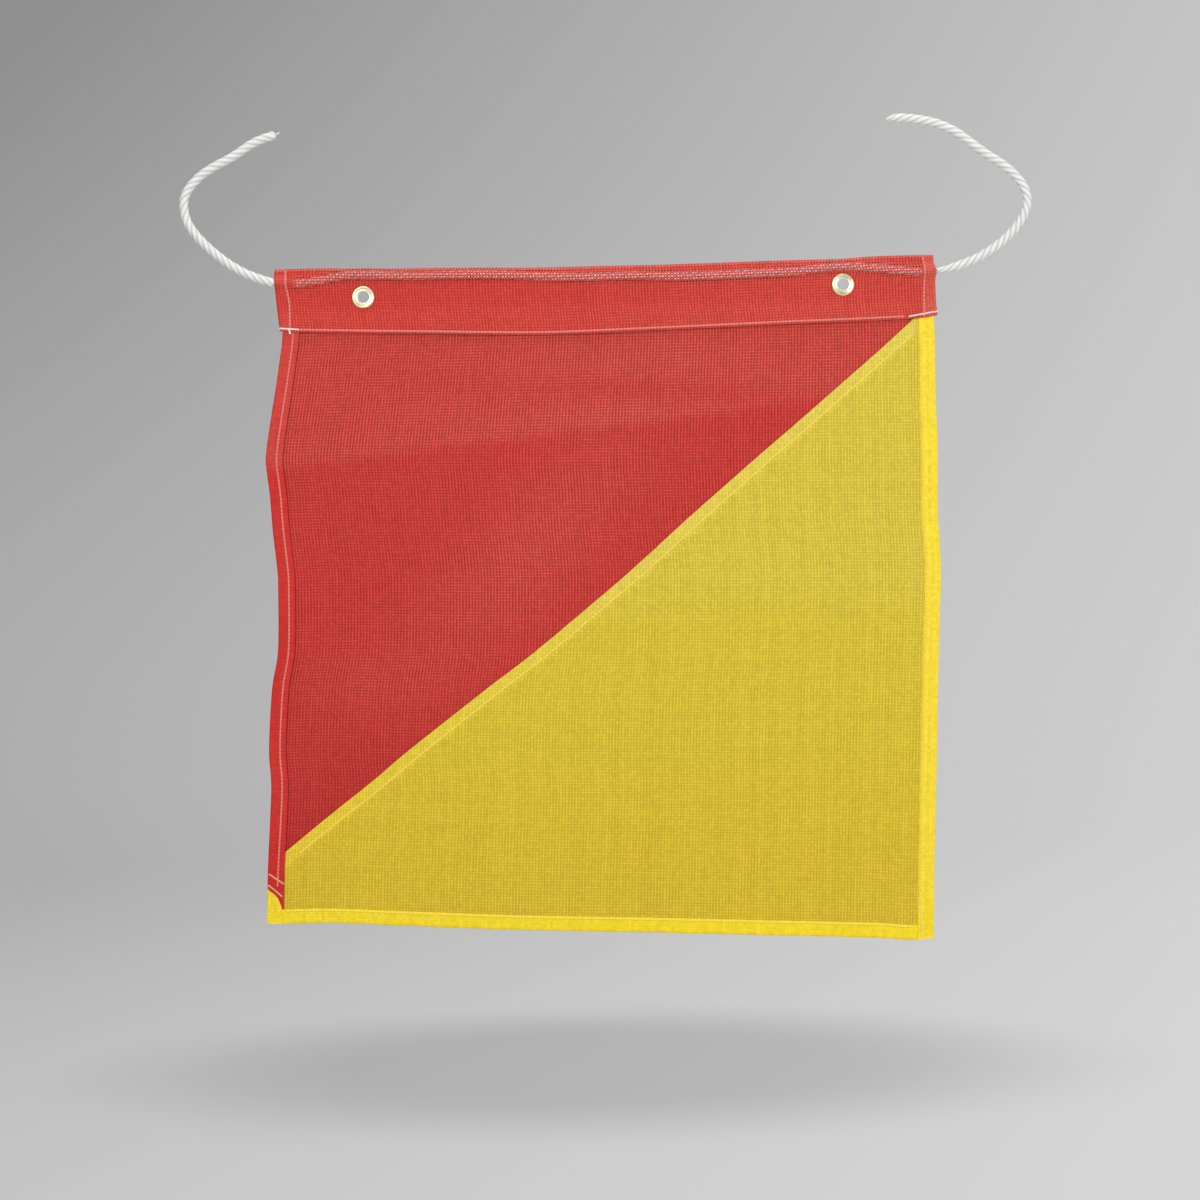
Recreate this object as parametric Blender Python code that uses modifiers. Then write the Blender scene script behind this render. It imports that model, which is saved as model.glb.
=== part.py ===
"""Two-colour signal flag of PVC mesh, with a rope through its header and two brass grommets.

The frame: X runs along the rope's sleeve, -Y is the flag's front, +Z is up.
The origin is on the rope, at the middle of the sleeve. Sizes here are in millimetres.
"""

import math

import bmesh
import bpy
from mathutils import Vector

MM = 0.001

# Driving dimensions
HEADER_HALF = 228.3  # an 18 inch flag, measured along its header
HEADER_FOOT = -38.0
FABRIC = 0.6  # one layer of coated mesh
GAP = 0.3  # between pieces that touch
HEM = 11.5
ROPE_RADIUS = 3.15
THREAD_RADIUS = 0.25
TACK_RADIUS = 0.4

# Layers of the cloth, as distances along Y
RED_FRONT, RED_BACK = 0.6, 1.2
YELLOW_FRONT, YELLOW_BACK = -0.3, 0.3
HEM_FRONT, HEM_BACK = -1.2, -0.6
POCKET = 1.5  # half the room between the header's two layers, where the panels are sewn in
PINCH = 0.15  # half of that room where the header lies flat
WELD_OVERLAP = 0.1  # how far a sewn-down fold reaches into its own layer, to be one body with it

# The header's section, as heights
POCKET_TOP = -22.0
FLAT_FOOT = -19.5
TUNNEL_CLEARANCE = 0.45
FOLD_HEADROOM = 4.9  # least height of the fold's top over the rope's centre
FOLD_TOP = [(-229, 9.8), (-170, 8.8), (-45, 7.6), (58, 8.0), (162, 9.5), (229, 11.0)]
ARC_STEPS = 6
ARC_END = math.radians(120)

# The grommets: each has a flanged barrel, curled over a washer behind the header
GROMMETS = {"left": (-168.3, -11.0), "right": (164.1, -8.7)}
HOLE_RADIUS = 3.8
BARREL_RADIUS = 4.4
FLANGE_RADIUS = 7.95
FLANGE_RISE = 1.0
LIP_RADIUS = 6.2
LIP_THICK = 0.8
WASHER_THICK = 0.6
ROUNDING = 0.2
ROUND_STEPS = 32

# The rope's route: through the sleeve, then each free tail, as (x, z)
SLEEVE_ROUTE = [
    (-228.6, 0), (-216, -0.6), (-200, 1.0), (-184, 3.8), (-168, 4.6), (-137, 3.2),
    (-89, 3.2), (-54, 1.8), (-20, 0.2), (22, 0.4), (57, -0.8), (96, 0),
    (128, 1.0), (160, 3.9), (187, 2.4), (212, -0.4), (228.6, 0),
]
LEFT_TAIL = [
    (-229.8, 0), (-239.8, 3.1), (-251.2, 7.9), (-262.6, 15.0), (-273.9, 24.4), (-282.9, 33.8),
    (-289.2, 43.6), (-291.4, 54.2), (-290.2, 61.8), (-286.0, 68.6), (-278.6, 75.8),
    (-269.6, 81.5), (-261.2, 85.8), (-253.1, 90.4), (-245.0, 95.8), (-236.6, 99.8), (-226.4, 102.8),
]
RIGHT_TAIL = [
    (229.8, 0), (239.5, 1.7), (252.0, 5.8), (263.2, 11.1), (274.5, 18.9), (284.6, 28.7),
    (290.9, 38.4), (293.0, 48.3), (290.4, 57.2), (284.2, 65.6), (275.2, 73.4),
    (265.2, 80.0), (256.0, 86.9), (247.2, 93.8), (237.7, 99.2), (226.6, 103.2),
    (214.3, 105.4), (202.5, 106.2), (195.8, 105.2),
]
ROPE_SPACING = 15.0

# The panels' outlines, as (x, z)
PANEL_TOP = -42.0
SEAM_TOP, SEAM_FOOT = -26.0, -37.7
LEFT_EDGE = [
    (-225.2, PANEL_TOP), (-229.4, -68), (-235, -98), (-238.1, -126), (-235, -160), (-231.2, -212),
    (-232.2, -254), (-238, -295), (-239.9, -323), (-238.8, -352), (-241.3, -400),
]
TONGUE_OUTER, TONGUE_INNER = (-242.4, -419.1), (-232.4, -432.7)
BOTTOM_LEFT = (-243.4, -444.0)
BOTTOM_EDGE = [(-200, -443.7), (-137, -447.4), (8, -453.9), (91, -457.6), (175, -461.3)]
BOTTOM_RIGHT = (218.5, -462.4)
RIGHT_EDGE = [(221, -378), (223.5, -325), (228, -207), (226.9, -160), (227.6, -122), (226.9, PANEL_TOP)]
EDGE_SPACING = 22.0
DIAGONAL_TOP, DIAGONAL_BEND, DIAGONAL_FOOT = (201.5, PANEL_TOP), (6, -203.4), (-229.3, -393.6)
DIAGONAL_HEM = 11.8  # measured straight down

# The threads, as distances from the edges beside them
SEAM_STITCH_RISE = 1.8
END_STITCH_INSET = 8.0
LEFT_STITCH_INSET = 7.4
STITCH_INSET = 9.3
BOTTOM_STITCH_RISE = 8.6
THREAD_SPACING = 40.0
HEADER_TACKS = {"left": (-226.3, -213.2), "right": (210.0, 227.3)}
PANEL_TACKS = {
    "corner_tack_upper": [(-240.6, -409.4), (-231.6, -415.8)],
    "corner_tack_lower": [(-240.8, -417.8), (-232.8, -425.2)],
    "right_corner_tack": [(210.3, -431.5), (210.8, -459)],
}

# Materials: colour, roughness, metallic
ROPE_WHITE = ((0.83, 0.83, 0.80), 0.75, 0.0)
MESH_RED = ((0.58, 0.035, 0.03), 0.5, 0.0)
MESH_YELLOW = ((0.85, 0.66, 0.03), 0.5, 0.0)
THREAD_PINK = ((0.85, 0.42, 0.36), 0.7, 0.0)
THREAD_LEMON = ((0.92, 0.84, 0.35), 0.7, 0.0)
THREAD_WHITE = ((0.88, 0.86, 0.82), 0.7, 0.0)
BRASS = ((0.80, 0.68, 0.36), 0.3, 1.0)


def clear_scene():
    for old in list(bpy.data.objects):
        bpy.data.objects.remove(old)


def new_collection(name, hidden=False):
    made = bpy.data.collections.new(name)
    made.hide_render = hidden
    bpy.context.scene.collection.children.link(made)
    return made


def give_material(piece, look):
    colour, roughness, metallic = look
    material = bpy.data.materials.new(piece.name)
    material.use_nodes = True
    shader = material.node_tree.nodes["Principled BSDF"]
    shader.inputs["Base Color"].default_value = (*colour, 1)
    shader.inputs["Roughness"].default_value = roughness
    shader.inputs["Metallic"].default_value = metallic
    piece.data.materials.append(material)


def smooth_route(points, spacing):
    """Evenly spaced points on a Catmull-Rom curve through a route's own points."""
    knots = [Vector(p) for p in points]
    ends = [2 * knots[0] - knots[1], *knots, 2 * knots[-1] - knots[-2]]
    fine = []
    for a, b, c, d in zip(ends, ends[1:], ends[2:], ends[3:]):
        for step in range(12):
            t = step / 12
            bend = 2 * b + (c - a) * t + (2 * a - 5 * b + 4 * c - d) * t**2
            fine.append((bend + (3 * b - a - 3 * c + d) * t**3) / 2)
    fine.append(knots[-1])
    total = sum((q - p).length for p, q in zip(fine, fine[1:]))
    count = max(2, round(total / spacing))
    wanted = [total * n / count for n in range(count + 1)]
    return points_along(fine, wanted)


def smooth_line(points, spacing):
    return [tuple(p) for p in smooth_route(points, spacing)]


def points_along(fine, wanted):
    """The points of a fine line at the wanted distances from its start."""
    found, walked, piece = [], 0.0, 0
    for distance in wanted:
        while piece < len(fine) - 2 and walked + (fine[piece + 1] - fine[piece]).length < distance:
            walked += (fine[piece + 1] - fine[piece]).length
            piece += 1
        step = fine[piece + 1] - fine[piece]
        found.append(fine[piece] + step * min(1.0, (distance - walked) / step.length))
    return found


def height_at(points, x):
    """The height at x of a line through (x, z) points."""
    for (x0, z0), (x1, z1) in zip(points, points[1:]):
        if x <= x1:
            return z0 + (z1 - z0) * (x - x0) / (x1 - x0)
    return points[-1][1]


def tube(name, points, radius, look, sides_setting=2):
    """A round rope or thread through (x, y, z) points."""
    curve = bpy.data.curves.new(name, "CURVE")
    curve.dimensions = "3D"
    curve.bevel_depth = radius * MM
    curve.bevel_resolution = sides_setting
    curve.use_fill_caps = True
    curve.render_resolution_u = 0
    spline = curve.splines.new("POLY")
    spline.points.add(len(points) - 1)
    for slot, point in zip(spline.points, points):
        slot.co = (*(v * MM for v in point), 1)
    spline.use_smooth = True
    piece = bpy.data.objects.new(name, curve)
    flag.objects.link(piece)
    give_material(piece, look)
    return piece


def plate(name, outline, front, back, home):
    """A flat piece with an (x, z) outline, between two distances along Y, as a mesh."""
    curve = bpy.data.curves.new(name, "CURVE")
    curve.dimensions = "2D"
    curve.fill_mode = "BOTH"
    curve.extrude = (back - front) / 2 * MM
    curve.render_resolution_u = 0
    spline = curve.splines.new("POLY")
    spline.points.add(len(outline) - 1)
    spline.use_cyclic_u = True
    for slot, (x, z) in zip(spline.points, outline):
        slot.co = (x * MM, z * MM, 0, 1)
    drawn = bpy.data.objects.new(name, curve)
    drawn.rotation_euler = (math.radians(90), 0, 0)
    drawn.location = (0, (front + back) / 2 * MM, 0)
    home.objects.link(drawn)
    return as_mesh(drawn, home)


def as_mesh(drawn, home):
    """A curve object made a closed mesh object in the same place."""
    bpy.context.view_layer.update()
    name = drawn.name
    evaluated = drawn.evaluated_get(bpy.context.evaluated_depsgraph_get())
    mesh = bpy.data.meshes.new_from_object(evaluated)
    welder = bmesh.new()
    welder.from_mesh(mesh)
    bmesh.ops.remove_doubles(welder, verts=welder.verts, dist=0.01 * MM)
    welder.to_mesh(mesh)
    welder.free()
    place = drawn.matrix_world.copy()
    bpy.data.objects.remove(drawn)
    piece = bpy.data.objects.new(name, mesh)
    home.objects.link(piece)
    piece.matrix_world = place
    return piece


def combine(piece, other, operation):
    """Adds or cuts another mesh, which then stays only as a guide."""
    step = piece.modifiers.new(other.name, "BOOLEAN")
    step.operation = operation
    step.object = other
    other.hide_render = True
    other.display_type = "WIRE"


def layered(name, look, layers):
    """One body of several flat layers, each given as (outline, front, back)."""
    first, *rest = layers
    piece = plate(name, *first, flag)
    for number, layer in enumerate(rest):
        fold = plate(f"{name}_fold_{number}", *layer, guides)
        combine(piece, fold, "UNION")
    give_material(piece, look)
    return piece


def shifted(points, dx, dz=0.0):
    return [(x + dx, z + dz) for x, z in points]


def header_side(x, skin):
    """Half of the header's section at x, from its foot to its fold, as (y, z) points.

    skin is 0 for the inner face and the fabric's thickness for the outer one.
    """
    rope = height_at(SLEEVE_LINE, x)
    top = max(height_at(FOLD_TOP, x), rope + FOLD_HEADROOM)
    radius = ROPE_RADIUS + TUNNEL_CLEARANCE + skin
    flat = PINCH + skin
    side = [(POCKET + skin, HEADER_FOOT), (POCKET + skin, POCKET_TOP), (flat, FLAT_FOOT)]
    start = math.asin(flat / radius)
    for step in range(ARC_STEPS + 1):
        turn = start + (ARC_END - start) * step / ARC_STEPS
        side.append((radius * math.sin(turn), rope - radius * math.cos(turn)))
    side.append((flat, top - FABRIC + skin))
    return side


def header_section(x):
    """The folded strip's whole section at x, as a closed loop of (y, z) points."""
    outer = header_side(x, FABRIC)
    inner = header_side(x, 0)
    loop = [(-y, z) for y, z in outer] + outer[::-1]
    return loop + inner + [(-y, z) for y, z in inner[::-1]]


def build_header():
    """A strip folded over the rope, lofted through the sections along it."""
    shape = bmesh.new()
    rings = []
    for x in [-HEADER_HALF, *[p[0] for p in SLEEVE_LINE[1:-1]], HEADER_HALF]:
        ring = [shape.verts.new((x * MM, y * MM, z * MM)) for y, z in header_section(x)]
        rings.append(ring)
    for ring, following in zip(rings, rings[1:]):
        for n in range(len(ring)):
            m = (n + 1) % len(ring)
            shape.faces.new((ring[n], ring[m], following[m], following[n]))
    shape.faces.new(rings[0])
    shape.faces.new(rings[-1])
    bmesh.ops.recalc_face_normals(shape, faces=shape.faces)
    mesh = bpy.data.meshes.new("header_band")
    shape.to_mesh(mesh)
    shape.free()
    header = bpy.data.objects.new("header_band", mesh)
    flag.objects.link(header)
    give_material(header, MESH_RED)
    for side, (x, z) in GROMMETS.items():
        combine(header, hole_cutter(side, x, z), "DIFFERENCE")


def hole_cutter(side, x, z):
    shape = bmesh.new()
    radius = (BARREL_RADIUS + GAP) * MM
    bmesh.ops.create_cone(shape, cap_ends=True, segments=ROUND_STEPS, radius1=radius,
                          radius2=radius, depth=10 * MM)
    mesh = bpy.data.meshes.new(f"hole_{side}")
    shape.to_mesh(mesh)
    shape.free()
    cutter = bpy.data.objects.new(f"hole_{side}", mesh)
    cutter.rotation_euler = (math.radians(90), 0, 0)
    cutter.location = (x * MM, 0, z * MM)
    guides.objects.link(cutter)
    return cutter


def turned(name, profile, x, z, look):
    """A ring turned about the Y axis from a closed (radius, distance to the front) profile."""
    shape = bmesh.new()
    corners = [shape.verts.new((r * MM, 0, h * MM)) for r, h in profile]
    for a, b in zip(corners, corners[1:] + corners[:1]):
        shape.edges.new((a, b))
    mesh = bpy.data.meshes.new(name)
    shape.to_mesh(mesh)
    shape.free()
    piece = bpy.data.objects.new(name, mesh)
    piece.rotation_euler = (math.radians(90), 0, 0)
    piece.location = (x * MM, 0, z * MM)
    flag.objects.link(piece)
    screw = piece.modifiers.new("turn", "SCREW")
    screw.steps = screw.render_steps = ROUND_STEPS
    screw.use_merge_vertices = True
    screw.merge_threshold = 0.00001
    give_material(piece, look)


def build_grommets():
    """Grommets with a flat crown on the curled lip, where the flag lies against a wall."""
    seat = PINCH + FABRIC + GAP
    washer_back = seat + WASHER_THICK
    lip = washer_back + GAP
    crown = lip + LIP_THICK
    front = seat + FLANGE_RISE
    flange = [
        (BARREL_RADIUS, front - ROUNDING / 2), (LIP_RADIUS, front),
        (FLANGE_RADIUS - 0.5, front - 0.3), (FLANGE_RADIUS, seat + 0.3),
        (FLANGE_RADIUS - ROUNDING / 2, seat), (BARREL_RADIUS, seat),
    ]
    curl = [
        (BARREL_RADIUS, -lip), (LIP_RADIUS - ROUNDING, -lip), (LIP_RADIUS, -lip - ROUNDING),
        (LIP_RADIUS - ROUNDING, -crown), (BARREL_RADIUS, -crown),
        (HOLE_RADIUS, -lip - LIP_THICK / 2), (HOLE_RADIUS, seat + FLANGE_RISE / 2),
    ]
    ring_hole = BARREL_RADIUS + GAP
    washer = [
        (ring_hole, -seat), (FLANGE_RADIUS - ROUNDING, -seat), (FLANGE_RADIUS, -seat - ROUNDING),
        (FLANGE_RADIUS - ROUNDING, -washer_back), (ring_hole, -washer_back),
    ]
    for side, (x, z) in GROMMETS.items():
        turned(f"grommet_{side}", flange + curl, x, z, BRASS)
        turned(f"washer_{side}", washer, x, z, BRASS)


def build_rope():
    """One rope: the run held in the sleeve and the two free tails."""
    for name, route in (
        ("rope_sleeve_run", SLEEVE_ROUTE),
        ("rope_tail_left", LEFT_TAIL),
        ("rope_tail_right", RIGHT_TAIL),
    ):
        line = smooth_line(route, ROPE_SPACING)
        tube(name, [(x, 0, z) for x, z in line], ROPE_RADIUS, ROPE_WHITE)


def box_outline(left, right, low, high):
    return [(left, low), (right, low), (right, high), (left, high)]


def build_seam_edges():
    """The panels' top edges, sewn between the header's two layers."""
    low, high = SEAM_FOOT, SEAM_TOP
    red = box_outline(-224.5, 205, low, high)
    red_hem = box_outline(-224.55, -224.5 + HEM, low, high)
    hem_back = RED_FRONT + WELD_OVERLAP
    layered("red_seam_edge", MESH_RED, [(red, RED_FRONT, RED_BACK), (red_hem, HEM_FRONT, hem_back)])
    yellow = box_outline(200, 226.5, low, high)
    yellow_hem = box_outline(226.5 - HEM, 226.55, low, high)
    hem_back = YELLOW_FRONT + WELD_OVERLAP
    layered("yellow_seam_edge", MESH_YELLOW,
            [(yellow, YELLOW_FRONT, YELLOW_BACK), (yellow_hem, HEM_FRONT, hem_back)])


def build_red_panel():
    """The red panel: its layer, and its left hem folded to the front, round the yellow's edge."""
    edge = smooth_line(LEFT_EDGE, EDGE_SPACING)
    outer = [*edge, TONGUE_OUTER]
    inner = [*shifted(edge, HEM), TONGUE_INNER]
    raw_edge = [(205, PANEL_TOP), (8, -215), (-220, -399)]  # hidden behind the yellow's hem
    layer = [*outer, TONGUE_INNER, (-230, -414), *raw_edge[::-1]]
    fold = outer + inner[::-1]
    wall = [(x - 0.05, z) for x, z in outer] + shifted(outer, 0.8)[::-1]
    build = [
        (layer, RED_FRONT, RED_BACK),
        (wall, HEM_FRONT + 0.05, RED_BACK - 0.05),
        (fold, HEM_FRONT, HEM_BACK),
    ]
    layered("red_panel", MESH_RED, build)


def diagonal_band():
    """The yellow's diagonal hem, ending beside the red's left hem."""
    top_right = (216.2, PANEL_TOP - 0.1)
    foot = (-228.6, -393.0)
    upper = [shifted([DIAGONAL_TOP], 0, -0.1)[0], DIAGONAL_BEND, foot]
    lower = [top_right, *shifted(upper[1:], 0, -DIAGONAL_HEM)]
    return upper + lower[::-1]


def build_yellow_panel():
    """The yellow panel: its layer, in front of the red, and its four hems."""
    tucked = [DIAGONAL_FOOT, (-239.0, -401.5), (-240.6, -419.8)]
    corner = (-243.2, -420.0)
    layer = [
        DIAGONAL_TOP, DIAGONAL_BEND, *tucked, corner, BOTTOM_LEFT, *BOTTOM_EDGE,
        BOTTOM_RIGHT, *RIGHT_EDGE,
    ]
    hem = [
        (-243.25, -421.0), BOTTOM_LEFT, *BOTTOM_EDGE, BOTTOM_RIGHT, *shifted(RIGHT_EDGE, 0.05),
        *shifted(RIGHT_EDGE[::-1], -HEM), (207.6, -450.4),
        *shifted(BOTTOM_EDGE[::-1], 0, 10.5), (-232.0, -434.4),
    ]
    build = [
        (layer, YELLOW_FRONT, YELLOW_BACK),
        (hem, HEM_FRONT, YELLOW_FRONT + WELD_OVERLAP),
        (diagonal_band(), HEM_FRONT + 0.05, YELLOW_FRONT + WELD_OVERLAP / 2),
    ]
    layered("yellow_panel", MESH_YELLOW, build)


def offset_line(points, distance):
    """A line beside another one, to the left of its direction."""
    moved = []
    for n, point in enumerate(points):
        here = Vector(point)
        into = (here - Vector(points[n - 1])).normalized() if n else None
        out = (Vector(points[n + 1]) - here).normalized() if n < len(points) - 1 else into
        into = into or out
        side_in, side_out = Vector((-into.y, into.x)), Vector((-out.y, out.x))
        mitre = (side_in + side_out).normalized()
        moved.append(here + mitre * distance / mitre.dot(side_in))
    return moved


def thread(name, line, layer_front, look, radius=THREAD_RADIUS):
    """A row of stitches as one thread along (x, z) points, just in front of a layer."""
    y = layer_front - GAP - radius
    tube(name, [(x, y, z) for x, z in line], radius, look)


def build_header_threads():
    header_front = -POCKET - FABRIC
    seam = HEADER_FOOT + SEAM_STITCH_RISE
    row = [(HEADER_TACKS["left"][1] + 0.9, seam), (HEADER_TACKS["right"][0] - 1.2, seam)]
    thread("header_seam_stitch", row, header_front, THREAD_PINK)
    for side, (start, end) in HEADER_TACKS.items():
        line = [(start, seam), (end, seam)]
        thread(f"header_corner_tack_{side}", line, header_front, THREAD_WHITE, TACK_RADIUS)
    inset = HEADER_HALF - END_STITCH_INSET
    for side, x in (("left", -inset), ("right", inset)):
        outer = header_side(x, FABRIC)
        outer[0] = (outer[0][0], seam + 1.5)
        around = [(-y, z) for y, z in outer] + outer[::-1]
        line = offset_line(around, GAP + THREAD_RADIUS)
        tube(f"header_end_stitch_{side}", [(x, y, z) for y, z in line], THREAD_RADIUS, THREAD_PINK)


def build_panel_threads():
    beside_left = shifted(LEFT_EDGE[:-1], LEFT_STITCH_INSET)
    beside_right = shifted(RIGHT_EDGE[::-1], -STITCH_INSET)
    over_bottom = shifted(BOTTOM_EDGE, 0, BOTTOM_STITCH_RISE)
    rows = {
        "left_hem_stitch": [*beside_left, (-234.2, -400)],
        "right_hem_stitch": [*beside_right, (210.4, -428)],
        "bottom_hem_stitch": [(-229, -435.6), *over_bottom, (206.5, -452.2)],
        "diagonal_stitch": [(213.5, -45), (6, -216), (-227.2, -402.4)],
    }
    for name, line in rows.items():
        look = THREAD_PINK if name == "left_hem_stitch" else THREAD_LEMON
        thread(name, smooth_line(line, THREAD_SPACING), HEM_FRONT, look)
    for name, line in PANEL_TACKS.items():
        thread(name, line, HEM_FRONT, THREAD_WHITE, TACK_RADIUS)


clear_scene()
SLEEVE_LINE = smooth_line(SLEEVE_ROUTE, ROPE_SPACING)
flag = new_collection("signal_flag")
guides = new_collection("guides", hidden=True)
build_rope()
build_header()
build_grommets()
build_seam_edges()
build_red_panel()
build_yellow_panel()
build_header_threads()
build_panel_threads()
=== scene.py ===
"""The looks of the mesh signal flag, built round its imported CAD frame.

The tables are in millimetres, as in the CAD, and MM turns them into metres. The cloth is drawn
flat in its own coordinates, s across and t down, and then mapped to its folds and its place.
"""

import math
import random

import bmesh
import bpy
import numpy as np
from mathutils import Matrix, Vector


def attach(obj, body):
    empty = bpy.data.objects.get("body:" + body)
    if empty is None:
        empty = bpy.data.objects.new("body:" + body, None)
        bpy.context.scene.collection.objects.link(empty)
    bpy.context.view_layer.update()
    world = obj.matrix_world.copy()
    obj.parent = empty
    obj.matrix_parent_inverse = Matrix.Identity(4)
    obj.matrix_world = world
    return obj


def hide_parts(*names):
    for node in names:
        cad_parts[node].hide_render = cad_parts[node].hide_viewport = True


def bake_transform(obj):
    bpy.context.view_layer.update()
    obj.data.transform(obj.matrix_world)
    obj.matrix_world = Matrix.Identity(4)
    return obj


MM = 0.001
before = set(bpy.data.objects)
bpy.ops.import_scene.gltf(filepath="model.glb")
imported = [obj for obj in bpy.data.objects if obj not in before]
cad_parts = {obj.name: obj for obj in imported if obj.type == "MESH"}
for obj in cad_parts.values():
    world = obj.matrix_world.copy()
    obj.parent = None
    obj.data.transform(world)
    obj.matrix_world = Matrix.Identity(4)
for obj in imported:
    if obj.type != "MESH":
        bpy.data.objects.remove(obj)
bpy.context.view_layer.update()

# The weave: from thread to thread, and the holes' sizes
PITCH = 2.12
PANEL_HOLE = 0.1
HEADER_HOLE = 1.05  # over the rope
CLOSED = 0.2  # the share of HEADER_HOLE that is open elsewhere in the header

# The panel's cut size, and its outline as (x, z)
PANEL_WIDE, PANEL_TALL = 452.0, 427.0
PANEL_TOP = -28.0
LEFT_EDGE = [
    (-224.4, -28), (-225.2, -42), (-227, -53.3), (-230.3, -74), (-234, -94.7), (-237.5, -115.4),
    (-238.1, -125.8), (-235.9, -146.6), (-234.3, -170.9), (-231.5, -198.7), (-231.1, -212.5),
    (-232.1, -254.1), (-237, -281.7), (-239.9, -323.2), (-238.7, -351), (-241.9, -406.3),
    (-243.5, -444),
]
RIGHT_EDGE = [
    (226.6, -28), (227.1, -51.6), (226.8, -82.8), (227.5, -122), (226.8, -165.9), (228.1, -207.5),
    (225.6, -263), (223.1, -332), (220.9, -387.5), (218.5, -462.3),
]
BOTTOM_EDGE = [
    (-243.5, -444), (-199.6, -443.7), (-158, -446), (-75, -450.7), (8, -453.9), (91, -457.7),
    (174, -461.3), (203, -463.6), (218.5, -462.3),
]
DIAGONAL = [(11.8, 375.6), (438.3, 4.5)]  # the yellow's folded edge, as (s, t)
DIAGONAL_HEM = 9.2
RED_MARGIN = 6.5  # how far the red goes on behind the yellow's fold
RED_HEM = 11.5
TONGUE = [(0.0, 401.0), (6.3, 406.0), (8.9, 409.5), (11.5, 416.5)]  # the cut end of the red's left hem
HEM_START = 398.5  # where the yellow's own left hem begins
YELLOW_START = 0.9  # where the yellow's cut edge lies above that, as s
LEFT_HEM, RIGHT_HEM, BOTTOM_HEM = 10.0, 10.6, 10.2  # of the yellow cloth

# The red has a painted sheen above a soft crease: where that starts, its height there and its slope
CREASE_START, CREASE_HEIGHT, CREASE_SLOPE = -209, -127, 0.105
# Where else the red has a painted sheen, or, below zero, less of it: (x, z), half sizes, slope and amount
SHEEN_PATCHES = [
    (-60, -192, 85, 52, 0.83, 0.14), (-173, -276, 50, 20, 0.0, 0.05), (50, -81, 105, 9, -0.06, -0.11),
    (20, -60, 90, 13, 0.0, 0.06),
]

# The layers' distances behind the flag's middle plane, and the radii of the folds at their hems
RED_LAYER, YELLOW_LAYER = 0.9, 0.0
RED_FOLD, LEFT_FOLD, RIGHT_FOLD, BOTTOM_FOLD, DIAGONAL_FOLD = 0.95, 0.4, 0.45, 0.3, 0.2

# The header
HEADER_WIDE, HEADER_TALL = 457.0, 48.23
TURN_IN = 8.5
HEADER_LEFT = [(-226.2, -34.4), (-227.2, -25.5), (-228.6, -11.7), (-229.5, 2.2), (-229.3, 9.8)]
HEADER_RIGHT = [(229.2, -30.6), (228.4, -22), (228.2, -6.6), (229.0, -1.1), (227.2, 6), (227.1, 11)]
HEADER_TOP = [
    (-229, 9.7), (-191, 9.7), (-170, 8.7), (-128, 8.6), (-87, 8.1), (-45, 7.5), (0, 7.7), (38, 7.8),
    (79, 8.4), (121, 9.1), (162, 9.4), (183, 10.6), (204, 11), (229, 11),
]
SEAM = [
    (-229, -31.7), (-213, -32.7), (-129, -35.4), (-46, -37.6), (23, -36.3), (120, -33.7),
    (210, -31.4), (229, -28.9),
]
SEAM_RISE = 1.8  # from the header's foot to its seam
FLAT_HALF = 0.45  # half the header's thickness where nothing fills it
BULGE_REACH = 6.4  # how far above and below the rope's middle the header bulges
HEADER_BEND = 1.3  # the cloth on each side of the header's top line that turns over it
TURNED_STEP = 0.35  # how much lower the turned-in ends lie than the cloth over them
HOLE_RADIUS = 5.2  # of the holes for the grommets, under their flanges
END_STITCH = {
    "left": [(-219.3, -33), (-219.4, -15.3), (-221.6, -1.4), (-221.7, 9.6)],
    "right": [(219.7, -32), (220.2, -15), (220.8, 1.3), (219.2, 11)],
}

# The rope
ROPE_RADIUS = 3.15
ROPE_LAY = 24.0  # the length of one turn
ROPE_STRANDS = 4  # as ridges, for the spacing in the photograph
ROPE_GROOVE = 0.13  # the depth between the ridges, as a share of the radius
ROPE_SIDES, ROPE_STEP = 40, 0.8  # of its mesh, round and along
PINCHED = 0.62  # the rope's share of its radius where it leaves the header's right end
FIBRE_RADIUS = 0.22
SLEEVE_ROUTE = [
    (-229.75, 0), (-216, -0.6), (-200, 1.0), (-184, 3.8), (-168, 4.6), (-137, 3.2),
    (-89, 3.2), (-54, 1.8), (-20, 0.2), (22, 0.4), (57, -0.8), (96, 0),
    (128, 1.0), (160, 3.9), (187, 2.4), (212, -0.4), (229.75, 0),
]
LEFT_TAIL = [
    (-229.8, 0), (-239.8, 3.1), (-251.2, 7.9), (-262.6, 15.0), (-273.9, 24.4), (-282.9, 33.8),
    (-289.2, 43.6), (-291.4, 54.2), (-290.2, 61.8), (-286.0, 68.6), (-278.6, 75.8),
    (-269.6, 81.5), (-261.2, 85.8), (-253.1, 90.4), (-245.0, 95.8), (-236.6, 99.8), (-226.4, 102.8),
]
RIGHT_TAIL = [
    (229.8, 0), (239.5, 1.7), (252.0, 5.8), (263.2, 11.1), (274.5, 18.9), (284.6, 28.7),
    (290.9, 38.4), (293.0, 48.3), (290.4, 57.2), (284.2, 65.6), (275.2, 73.4),
    (265.2, 80.0), (256.0, 86.9), (247.2, 93.8), (237.7, 99.2), (226.6, 103.2),
    (214.3, 105.4), (202.5, 106.2), (195.8, 105.2),
]

GROMMETS = {"left": (-168.3, -11.0), "right": (164.1, -8.7)}


# ---------------------------------------------------------------- lines and numbers


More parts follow.
